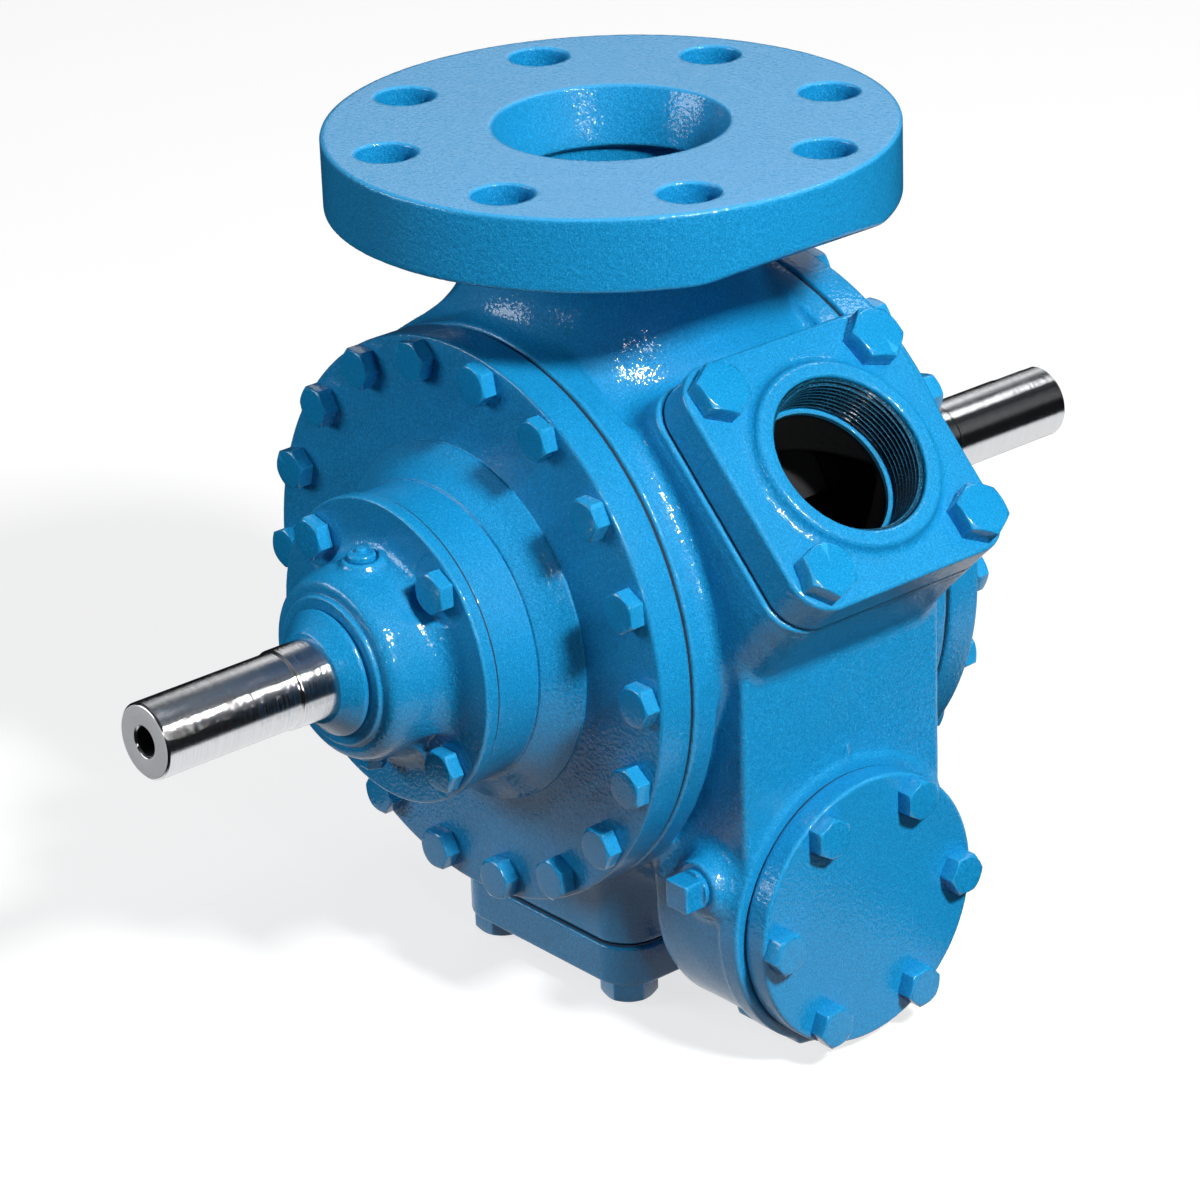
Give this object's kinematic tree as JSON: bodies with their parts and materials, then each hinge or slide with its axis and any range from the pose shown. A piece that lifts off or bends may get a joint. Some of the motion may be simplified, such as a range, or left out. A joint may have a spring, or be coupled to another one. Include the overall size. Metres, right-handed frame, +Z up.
{
  "type": "sliding vane pump",
  "caption": "Flange-mounted sliding vane pump: round heads on a cast casing, through shaft, top intake flange, slanted threaded discharge and a built-in relief valve behind a round cover.",
  "frame": {"origin": "centre of the intake flange's upper face, which is the mating face and the middle of its bolt circle", "axes": "+Z up out of the intake flange; +Y along the shaft towards the keyed far end; +X towards the discharge side and the round relief valve cover"},
  "size_m": [0.2695, 0.4444, 0.3265],
  "materials": {
    "blue_enamel": "gloss enamel over a sand-cast skin",
    "painted_shield": "gloss enamel",
    "cast_iron": "machined",
    "turned_steel": "fine turned and polished",
    "bearing_steel": "ground",
    "bronze": "machined",
    "seal_rubber": "moulded",
    "carbon": "lapped",
    "gasket_sheet": "fibre sheet",
    "vane_composite": "machined"
  },
  "bodies": {
    "pump_body": {"casing": "blue_enamel", "liner": "cast_iron", "liner_key": "bearing_steel", "near_end_disc": "cast_iron", "far_end_disc": "cast_iron", "near_head": "blue_enamel", "far_head": "blue_enamel", "near_head_oring": "seal_rubber", "far_head_oring": "seal_rubber", "near_head_bolts": "blue_enamel", "far_head_bolts": "blue_enamel", "near_bearing_outer_race": "bearing_steel", "far_bearing_outer_race": "bearing_steel", "near_seal_seat": "carbon", "far_seal_seat": "carbon", "near_bearing_cover": "blue_enamel", "far_bearing_cover": "blue_enamel", "near_cover_gasket": "gasket_sheet", "far_cover_gasket": "gasket_sheet", "near_cover_bolts": "blue_enamel", "far_cover_bolts": "blue_enamel", "near_grease_seal": "seal_rubber", "far_grease_seal": "seal_rubber", "grease_fittings": "blue_enamel", "grease_vents": "blue_enamel", "discharge_flange": "blue_enamel", "discharge_gasket": "gasket_sheet", "discharge_flange_bolts": "blue_enamel", "bottom_flange": "blue_enamel", "bottom_gasket": "gasket_sheet", "bottom_flange_bolts": "blue_enamel", "relief_seat": "bronze", "relief_spring": "bearing_steel", "relief_cover": "blue_enamel", "relief_cover_gasket": "gasket_sheet", "relief_cover_bolts": "blue_enamel", "housing_pipe_plug": "blue_enamel"},
    "rotor_group": {"rotor": "cast_iron", "shaft": "turned_steel", "rotor_key": "bearing_steel", "near_bearing_inner_race": "bearing_steel", "far_bearing_inner_race": "bearing_steel", "near_lock_washer": "bearing_steel", "far_lock_washer": "bearing_steel", "near_locknut": "bearing_steel", "far_locknut": "bearing_steel", "near_seal_ring": "bearing_steel", "far_seal_ring": "bearing_steel", "near_dirt_shield": "painted_shield", "far_dirt_shield": "painted_shield"},
    "vane_1_body": {"vane_1": "vane_composite"},
    "vane_2_body": {"vane_2": "vane_composite"},
    "vane_3_body": {"vane_3": "vane_composite"},
    "vane_4_body": {"vane_4": "vane_composite"},
    "vane_5_body": {"vane_5": "vane_composite"},
    "vane_6_body": {"vane_6": "vane_composite"},
    "near_balls": {"near_ball_set": "bearing_steel"},
    "far_balls": {"far_ball_set": "bearing_steel"},
    "relief_poppet": {"relief_valve": "bearing_steel"}
  },
  "joints": [
    {"name": "rotor_spin", "type": "hinge", "parent": "pump_body", "child": "rotor_group", "pos_m": [0, 0, -0.17145], "axis": [0, 1, 0], "continuous": true},
    {"name": "near_balls_spin", "type": "hinge", "parent": "pump_body", "child": "near_balls", "pos_m": [0, -0.0965, -0.17145], "axis": [0, 1, 0], "continuous": true},
    {"name": "far_balls_spin", "type": "hinge", "parent": "pump_body", "child": "far_balls", "pos_m": [0, 0.0965, -0.17145], "axis": [0, 1, 0], "continuous": true},
    {"name": "vane_1_slide", "type": "slide", "parent": "rotor_group", "child": "vane_1_body", "axis": [0.9397, 0, 0.342], "range_m": [-0.012, 0]},
    {"name": "vane_2_slide", "type": "slide", "parent": "rotor_group", "child": "vane_2_body", "axis": [0.1736, 0, 0.9848], "range_m": [-0.012, 0]},
    {"name": "vane_3_slide", "type": "slide", "parent": "rotor_group", "child": "vane_3_body", "axis": [-0.766, 0, 0.6428], "range_m": [-0.012, 0]},
    {"name": "vane_4_slide", "type": "slide", "parent": "rotor_group", "child": "vane_4_body", "axis": [-0.9397, 0, -0.342], "range_m": [-0.012, 0]},
    {"name": "vane_5_slide", "type": "slide", "parent": "rotor_group", "child": "vane_5_body", "axis": [-0.1736, 0, -0.9848], "range_m": [-0.012, 0]},
    {"name": "vane_6_slide", "type": "slide", "parent": "rotor_group", "child": "vane_6_body", "axis": [0.766, 0, -0.6428], "range_m": [-0.012, 0]},
    {"name": "relief_lift", "type": "slide", "parent": "pump_body", "child": "relief_poppet", "axis": [1, 0, 0], "range_m": [0, 0.008], "stiffness_N_per_m": 8000, "springref_m": -0.015, "deforming": ["relief_spring"]}
  ],
  "couplings": [
    {"joint": "near_balls_spin", "follows": "rotor_spin", "ratio": 0.3831},
    {"joint": "far_balls_spin", "follows": "rotor_spin", "ratio": 0.3831}
  ]
}
